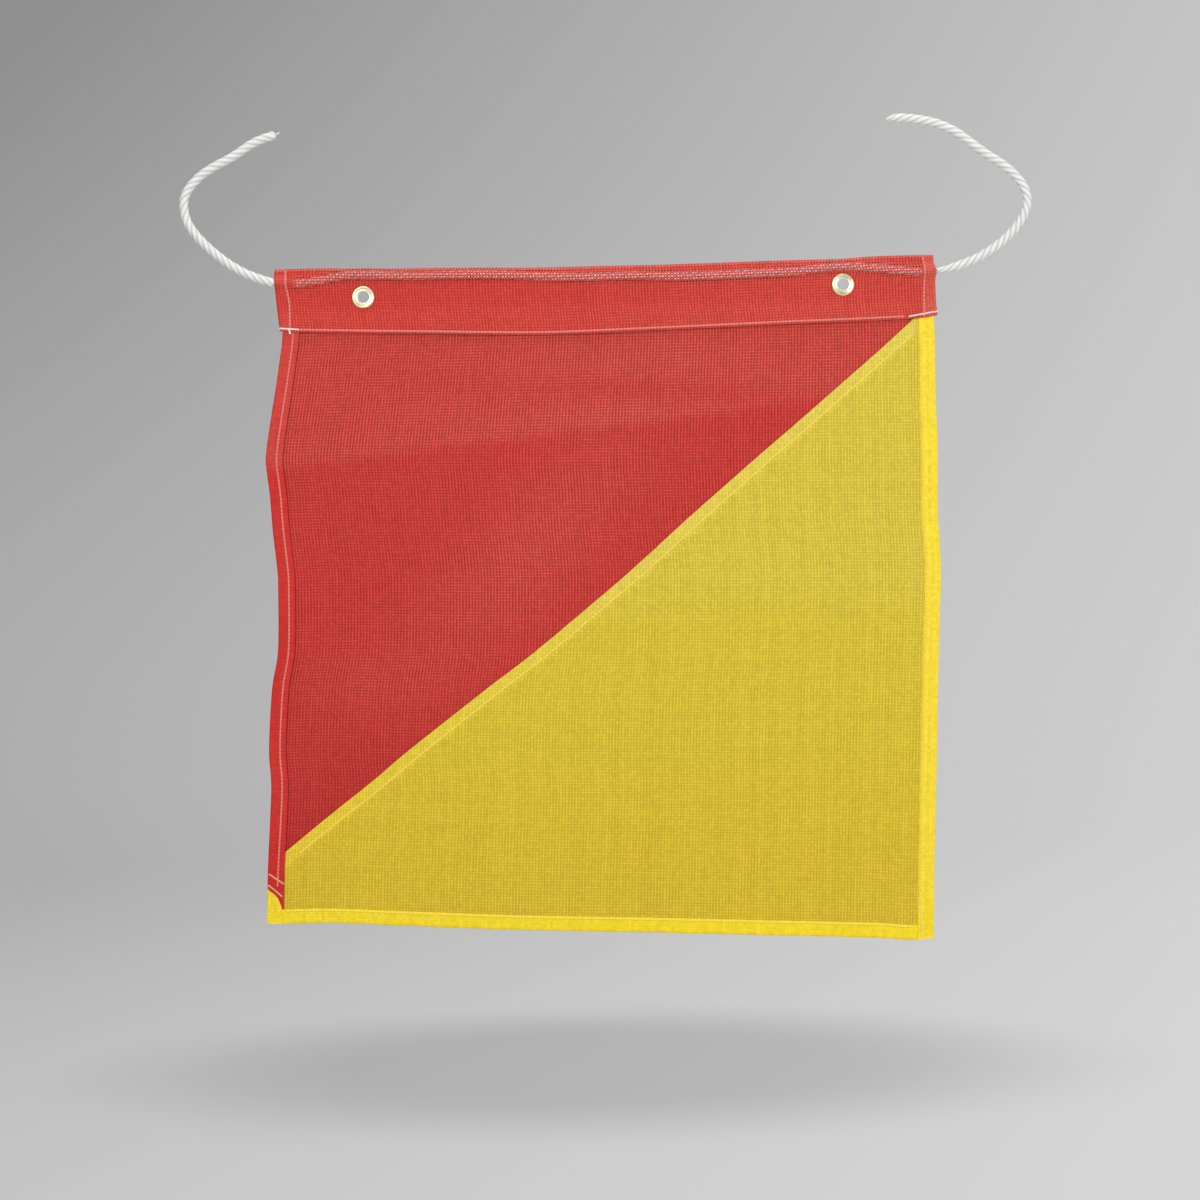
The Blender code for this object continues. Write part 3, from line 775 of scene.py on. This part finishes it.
def mesh_cloth_material(name, upper, lower, deep, hem, pale_and_sheen, speckle):
    """Coated open mesh: pale threads with gaps in painted shade, now the columns and now the rows stronger.

    upper and lower are the threads' colours up and down the cloth, the change between them painted
    shade that darkens them lower down; hem is theirs where the cloth lies double, the paler colour
    is theirs where they are paler, partly painted sheen and highlight, deep tints the gaps as
    painted shade, and speckle is their unevenness.
    """
    n = Nodes(name, Roughness=0.46, Specular_IOR_Level=0.15)
    uv = n.add("UVMap", uv_map="weave")
    parts = n.add("SeparateXYZ", {0: uv})
    u, v = parts.outputs[0], parts.outputs[1]
    sides = []
    for value in (u, v):
        inside = n.calc("SUBTRACT", n.calc("FRACT", value), 0.5)
        sides.append(n.calc("MULTIPLY", n.calc("ABSOLUTE", inside), 2.0))
    patches = n.noise(uv, 0.12, 4.0, 0.7)
    column_gap, row_gap = [n.ramp(value, 0.15, 0.8, 1.0, 0.0) for value in sides]
    column_gap = n.calc("MULTIPLY", column_gap, n.ramp(patches, 0.35, 0.65, 0.45, 0.9))
    row_gap = n.calc("MULTIPLY", row_gap, n.ramp(patches, 0.35, 0.65, 0.55, 0.2))
    # Where the cloth lies double its gaps get less of the painted shade
    double = n.amount("double")
    plain = n.calc("SUBTRACT", 1.0, n.calc("MULTIPLY", double, 0.8))
    gap = n.calc("MULTIPLY", n.calc("MINIMUM", n.calc("ADD", column_gap, row_gap), 1.0), plain)
    column = n.add("TexWhiteNoise", {"W": n.calc("ROUND", u)}, noise_dimensions="1D")
    row = n.add("TexWhiteNoise", {"W": n.calc("ADD", n.calc("ROUND", v), 61.5)}, noise_dimensions="1D")
    uneven = n.calc("MULTIPLY_ADD", column.outputs[0], 0.65, n.calc("MULTIPLY", row.outputs[0], 0.35))
    crossing = n.add("CombineXYZ", {0: n.calc("ROUND", u), 1: n.calc("ROUND", v)})
    speck = n.add("TexWhiteNoise", {"Vector": crossing}, noise_dimensions="2D")
    column_shade = n.ramp(uneven, 0.1, 0.9, 0.96, 1.03, False)
    shade = n.calc("ADD", column_shade, n.ramp(speck, 0, 1, -speckle, speckle, False))
    # The threads darker lower down: painted shade
    cloth = n.mix(n.ramp(v, 110, 185), upper, lower)
    cloth = n.mix(double, cloth, hem)
    # Paler where the sheen-and-paling amount says: painted sheen and highlight, and paler cloth
    cloth = n.mix(n.amount("sheen_and_paling"), cloth, pale_and_sheen)
    # The gaps darkened: painted shade
    cloth = n.mix(gap, cloth, n.mix(1.0, cloth, deep, "MULTIPLY"))
    grey = n.add("CombineColor", {0: shade, 1: shade, 2: shade})
    n.colour(n.mix(1.0, cloth, grey, "MULTIPLY"))
    down = n.ramp(sides[0], 0.3, 0.95)
    across = n.calc("MULTIPLY", n.ramp(sides[1], 0.3, 0.95), 0.8)
    grain = n.calc("MULTIPLY", n.noise(uv, 6.0), 0.15)
    n.bump(n.calc("ADD", n.calc("MAXIMUM", down, across), grain), 0.4, 0.0003)
    return n.material


def rope_material():
    """White laid rope: smooth strands with fine fibres along them, and painted grey shade between them."""
    n = Nodes("white_rope", Roughness=0.6, Specular_IOR_Level=0.35, Sheen_Weight=0.2)
    uv = n.add("UVMap", uv_map="weave")
    fibres = n.noise(n.add("Mapping", {"Vector": uv, "Scale": (70.0, 0.9, 1.0)}), 1.0, 2.0, 0.5)
    patches = n.noise(uv, 1.1, 2.0)
    valley = n.amount("valley")
    base = n.mix(n.ramp(patches, 0.35, 0.7), (0.86, 0.86, 0.84, 1), (0.81, 0.81, 0.78, 1))
    base = n.mix(n.ramp(fibres, 0.3, 0.75, 0.0, 0.5), base, (0.70, 0.70, 0.68, 1))
    # Painted grey shade down between the strands
    n.colour(n.mix(n.ramp(valley, 0.0, 1.0, 0.0, 0.7), base, (0.40, 0.40, 0.38, 1)))
    n.bump(fibres, 0.2, 0.0001)
    return n.material


def thread_material(name, colour, shade):
    """Sewing thread: two plies that show as fine slanted bands."""
    n = Nodes(name, Roughness=0.6, Specular_IOR_Level=0.3, Sheen_Weight=0.2)
    place = n.add("TexCoord").outputs["Object"]
    bands = n.add("TexWave", {"Vector": place, "Scale": 420.0, "Distortion": 1.5}, bands_direction="DIAGONAL")
    n.colour(n.mix(n.ramp(bands, 0.2, 0.9), shade, colour))
    n.bump(bands, 0.3, 0.0001)
    return n.material


def brass_material(name, brass, silver, dull):
    """Plated brass: paler where it is rubbed, with fine scratches and a few dull spots."""
    n = Nodes(name, Metallic=1.0)
    place = n.add("TexCoord").outputs["Object"]
    rubbed = n.amount("silver")
    spots = n.noise(place, 420.0, 4.0, 0.6)
    scratches = n.noise(n.add("Mapping", {"Vector": place, "Scale": (2600.0, 900.0, 500.0)}), 1.0, 2.0)
    metal = n.mix(rubbed, brass, silver)
    n.colour(n.mix(n.ramp(spots, 0.56, 0.72, 0.0, 0.6), metal, dull))
    rough = n.calc("ADD", n.ramp(spots, 0.35, 0.7, 0.20, 0.36, False), n.calc("MULTIPLY", scratches, 0.08))
    n.feed(n.shader.inputs["Roughness"], rough)
    n.bump(scratches, 0.12, 0.0001)
    return n.material


def dress(piece, material):
    """Give a piece its material."""
    piece.data.materials.clear()
    piece.data.materials.append(material)
    return piece


# ---------------------------------------------------------------- studio and camera

CAMERA_PLACE = (-0.0083, -2.309, -0.2238)
LENS = 100.0
ROLL = math.radians(1.1065)

# The tent: its floor's height and flat radius, the bend up to its wall, and its steps round
FLOOR = -0.549
TENT_FLAT, TENT_BEND, TENT_STEPS = 2.4, 1.6, 64
TENT_TOP = [(4.0, 2.0), (3.6, 3.0), (2.4, 3.7), (1.0, 4.0), (0.0, 4.05)]

# The wall in the picture: its size and its middle's height, the tent's limits, and the painted shadow
WALL_SIZE, WALL_MIDDLE = 2.73, -0.186
DARKEST, BRIGHTEST = 0.28, 0.72
SHADOW_PLACE, SHADOW_SIZE, SHADOW_DEPTH = (-0.015, 0.02), (0.40, 0.36), 0.235


def build_camera():
    data = bpy.data.cameras.new("camera")
    data.lens = LENS
    data.sensor_width = 36.0
    camera = link(bpy.data.objects.new("camera", data))
    right = Vector((math.cos(ROLL), 0, -math.sin(ROLL)))
    up = Vector((math.sin(ROLL), 0, math.cos(ROLL)))
    facing = Matrix((right, up, (0, -1, 0))).transposed()
    camera.matrix_world = Matrix.Translation(CAMERA_PLACE) @ facing.to_4x4()
    bpy.context.scene.camera = camera


def area_light(name, place, aim, size, power):
    data = bpy.data.lights.new(name, "AREA")
    data.shape = "DISK"
    data.size = size
    data.energy = power
    light = link(bpy.data.objects.new(name, data))
    light.location = place
    light.visible_camera = False
    light.rotation_euler = (Vector(aim) - Vector(place)).to_track_quat("-Z", "Y").to_euler()


def stage_material():
    """A glowing tent: grey, painted lighter to the right and downwards, with a painted soft shadow on its
    floor.
    """
    n = Nodes("stage")
    place = n.add("SeparateXYZ", {0: n.add("TexCoord").outputs["Object"]})
    x, y, z = place.outputs

    def length_of(a, b):
        return n.calc("SQRT", n.calc("ADD", n.calc("MULTIPLY", a, a), n.calc("MULTIPLY", b, b)))

    # The wall's and the floor's brightness: at the middle, and how it changes across and along
    side = n.calc("DIVIDE", x, WALL_SIZE)
    height = n.calc("DIVIDE", n.calc("ADD", z, -WALL_MIDDLE), WALL_SIZE)
    wall = n.calc("ADD", n.calc("MULTIPLY_ADD", side, 0.262, 0.512), n.calc("MULTIPLY", height, -0.275))
    wall = n.calc("ADD", wall, n.calc("MULTIPLY", n.calc("MULTIPLY", side, height), 0.229))
    floor = n.calc("ADD", n.calc("MULTIPLY_ADD", x, 0.17, 0.60), n.calc("MULTIPLY", y, -0.045))
    bright = n.add("Mix", {0: n.ramp(length_of(x, y), 1.0, 3.8), 2: floor, 3: wall})
    # A painted soft shadow on the floor under the flag
    across = n.calc("DIVIDE", n.calc("ADD", x, -SHADOW_PLACE[0]), SHADOW_SIZE[0])
    deep = n.calc("DIVIDE", n.calc("ADD", y, -SHADOW_PLACE[1]), SHADOW_SIZE[1])
    on_floor = n.ramp(z, FLOOR + 0.02, FLOOR + 0.01)
    shadow = n.calc("MULTIPLY", n.ramp(length_of(across, deep), 0.4, 1.05, SHADOW_DEPTH, 0.0), on_floor)
    bright = n.calc("MINIMUM", n.calc("MAXIMUM", bright, DARKEST), BRIGHTEST)
    value = n.calc("MULTIPLY", bright, n.calc("SUBTRACT", 1.0, shadow))
    glow = n.add("Emission", {"Color": n.add("CombineColor", {0: value, 1: value, 2: value})})
    output = next(node for node in n.tree.nodes if node.type == "OUTPUT_MATERIAL")
    n.feed(output.inputs["Surface"], glow)
    n.material.cycles.emission_sampling = "NONE"
    return n.material


def build_stage():
    """A round floor that curves up into a closed tent."""
    profile = [(radius, FLOOR) for radius in (0.0, 0.6, 1.4, TENT_FLAT)]
    for angle in np.radians([15, 30, 45, 60, 75, 90]):
        out, up = TENT_BEND * math.sin(angle), TENT_BEND * math.cos(angle)
        profile.append((TENT_FLAT + out, FLOOR + TENT_BEND - up))
    profile += TENT_TOP
    points, faces = [], []
    for n in range(TENT_STEPS):
        angle = 2 * math.pi * n / TENT_STEPS
        points += [(r * math.cos(angle) / MM, r * math.sin(angle) / MM, z / MM) for r, z in profile]
    count = len(profile)
    for n in range(TENT_STEPS):
        a, b = n * count, (n + 1) % TENT_STEPS * count
        faces += [(a + m, b + m, b + m + 1, a + m + 1) for m in range(count - 1)]
    stage = mesh_piece("stage", points, faces)
    shape = bmesh.new()
    shape.from_mesh(stage.data)
    bmesh.ops.remove_doubles(shape, verts=shape.verts, dist=0.0001)
    shape.to_mesh(stage.data)
    shape.free()
    stage.data.materials.append(stage_material())


# ---------------------------------------------------------------- the pieces


def left_tail_share(gone, whole):
    """The left tail's share of the rope's radius: full, with a round end."""
    return round_tip(gone, whole, 2.2)


def right_tail_share(gone, whole):
    """The right tail's: pinched where it leaves the header, with a tapered end."""
    return round_tip(gone, whole, 9) * (PINCHED + (1 - PINCHED) * smooth_step(0, 15, gone))


def run_share(gone, whole):
    """The run's: pinched at the header's right end."""
    return 1 - (1 - PINCHED) * smooth_step(whole - 8, whole, gone)


TAILS = (("left", LEFT_TAIL, -1, left_tail_share), ("right", RIGHT_TAIL, 1, right_tail_share))

build_camera()
white = rope_material()
for side, route, hand, share in TAILS:
    tail, line = build_rope(f"rope_tail_{side}_laid", route, hand, share)
    dress(tail, white)
    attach(tail, f"tail_{side}")
    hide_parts(f"rope_tail_{side}")
    loose = []
    if side == "left":
        lean = (line[-1] - line[-6]) / np.linalg.norm(line[-1] - line[-6])
        loose = [build_wisp("rope_end_left", (line[-1][0], 0, line[-1][1]), (lean[0], 0, lean[1]), 5)]
        dress(loose[0], white)
        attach(loose[0], "tail_left")
run, _ = build_rope("rope_in_sleeve", SLEEVE_ROUTE, 1, run_share)
dress(run, white)
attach(run, "header")
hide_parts("rope_sleeve_run")

RED = mesh_cloth_material(
    "red_mesh_cloth", upper=(0.592, 0.060, 0.049, 1), lower=(0.517, 0.042, 0.034, 1),
    deep=(0.74, 0.09, 0.04, 1), hem=(0.61, 0.028, 0.021, 1), pale_and_sheen=(0.74, 0.29, 0.21, 1), speckle=0.10)
HEADER_RED = mesh_cloth_material(
    "header_mesh_cloth", upper=(0.632, 0.064, 0.050, 1), lower=(0.632, 0.064, 0.050, 1),
    deep=(0.80, 0.14, 0.05, 1), hem=(0.62, 0.043, 0.034, 1), pale_and_sheen=(0.72, 0.28, 0.22, 1), speckle=0.10)
YELLOW = mesh_cloth_material(
    "yellow_mesh_cloth", upper=(0.735, 0.585, 0.056, 1), lower=(0.750, 0.548, 0.045, 1),
    deep=(0.76, 0.70, 0.06, 1), hem=(0.945, 0.715, 0.020, 1), pale_and_sheen=(0.74, 0.65, 0.26, 1), speckle=0.07)

red = dress(build_red(), RED)
yellow = dress(build_yellow(), YELLOW)
header = dress(build_header_cloth(), HEADER_RED)
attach(header, "header")
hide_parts("header_band")
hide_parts("red_panel", "red_seam_edge")
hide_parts("yellow_panel", "yellow_seam_edge")

PINK = thread_material("pink_thread", (0.84, 0.27, 0.22, 1), (0.72, 0.15, 0.12, 1))
LEMON = thread_material("lemon_thread", (0.94, 0.77, 0.09, 1), (0.88, 0.68, 0.04, 1))
PALE_LEMON = thread_material("pale_lemon_thread", (0.95, 0.86, 0.28, 1), (0.90, 0.78, 0.16, 1))
SALMON = thread_material("salmon_thread", (0.84, 0.46, 0.28, 1), (0.74, 0.30, 0.17, 1))
WHITE = thread_material("white_thread", (0.92, 0.86, 0.82, 1), (0.80, 0.66, 0.62, 1))


def thread_piece(node, lines, material):
    """One object for a row of stitches, which stands for its CAD node."""
    piece = tubes(f"{node}_sewn", lines, 8, FLATNESS)
    dress(piece, material)
    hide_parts(node)
    return piece


seam_x = np.linspace(-212.5, 208.5, 120)
header_rows = {"header_seam_stitch": np.stack([seam_x, seam_height(seam_x)], 1)}
for side, points in END_STITCH.items():
    header_rows[f"header_end_stitch_{side}"] = spaced(curve_through(points), 1.0)
header_threads = []
for node, line in header_rows.items():
    lines = both_sides(line, header_face(-1), header_face(1), HEADER_THREAD)
    header_threads.append(thread_piece(node, lines, PINK))
HEADER_BARS = {
    "left": [((-226.6, -31.6), (-213.2, -32.6)), ((-219.9, -32.4), (-219.2, -35.4))],
    "right": [((209.0, -31.7), (228.6, -28.5))],
}
for side, bars in HEADER_BARS.items():
    lines = []
    for start, end in bars:
        lines += bar_lines(start, end, header_face(-1), HEADER_BAR_THREAD)
    header_threads.append(thread_piece(f"header_corner_tack_{side}", lines, WHITE))

red_front = RED_LAYER - 2 * RED_FOLD
right_front, bottom_front = -2 * RIGHT_FOLD, -2 * BOTTOM_FOLD
right_row_s, bottom_row_t = PANEL_WIDE - 9.3, PANEL_TALL - 8.8
PANEL_ROWS = {
    "left_hem_stitch": ([(7.4, 7.5), (7.4, 200), (7.6, 330), (7.0, 403)], red_front, RED_LAYER, PINK),
    "right_hem_stitch": ([(right_row_s, t) for t in (14, 200, 396)], right_front, 0, LEMON),
    "bottom_hem_stitch": ([(s, bottom_row_t) for s in (12.5, 200, 439)], bottom_front, 0, LEMON),
    "diagonal_stitch": (beside_diagonal(-7.4, 0.01, 0.985), 0, RED_LAYER, LEMON),
}
panel_threads = []
for node, (points, front, back, material) in PANEL_ROWS.items():
    lines = both_sides(panel_line(points), at_layer(front), at_layer(back), PANEL_THREAD)
    panel_threads.append(thread_piece(node, lines, material))
PANEL_BARS = {
    "corner_tack_upper": ((-241.2, -409.0), (-231.2, -416.0), red_front, SALMON),
    "corner_tack_lower": ((-241.8, -416.6), (-232.4, -424.8), red_front, SALMON),
    "right_corner_tack": ((209.9, -430.5), (210.8, -461.0), right_front, PALE_LEMON),
}
for node, (start, end, front, material) in PANEL_BARS.items():
    lines = bar_lines(start, end, at_layer(front), PANEL_BAR_THREAD)
    panel_threads.append(thread_piece(node, lines, material))

BRASS = brass_material("grommet_brass", (0.86, 0.74, 0.42, 1), (0.88, 0.87, 0.82, 1), (0.62, 0.48, 0.24, 1))
for side, (x, z) in GROMMETS.items():
    for kind, profile in (("grommet", GROMMET_PROFILE), ("washer", WASHER_PROFILE)):
        ring = dress(turned(f"{kind}_{side}_brass", profile, x, z), BRASS)
        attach(ring, "header")
        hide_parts(f"{kind}_{side}")

for piece in header_threads:
    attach(piece, "header")
for piece in (red, yellow, *panel_threads):
    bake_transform(piece)

build_stage()
area_light("key", (-0.9, -2.2, 0.6), (0, 0, -0.3), 1.4, 25.0)
area_light("fill", (1.3, -1.9, -0.1), (0, 0, -0.3), 1.2, 10.0)
area_light("top", (0, -0.3, 1.7), (0, 0, -0.4), 1.6, 13.0)
area_light("back", (1.1, 2.2, 0.7), (0, 0, -0.3), 1.4, 13.0)
bpy.context.scene.view_settings.view_transform = "Standard"
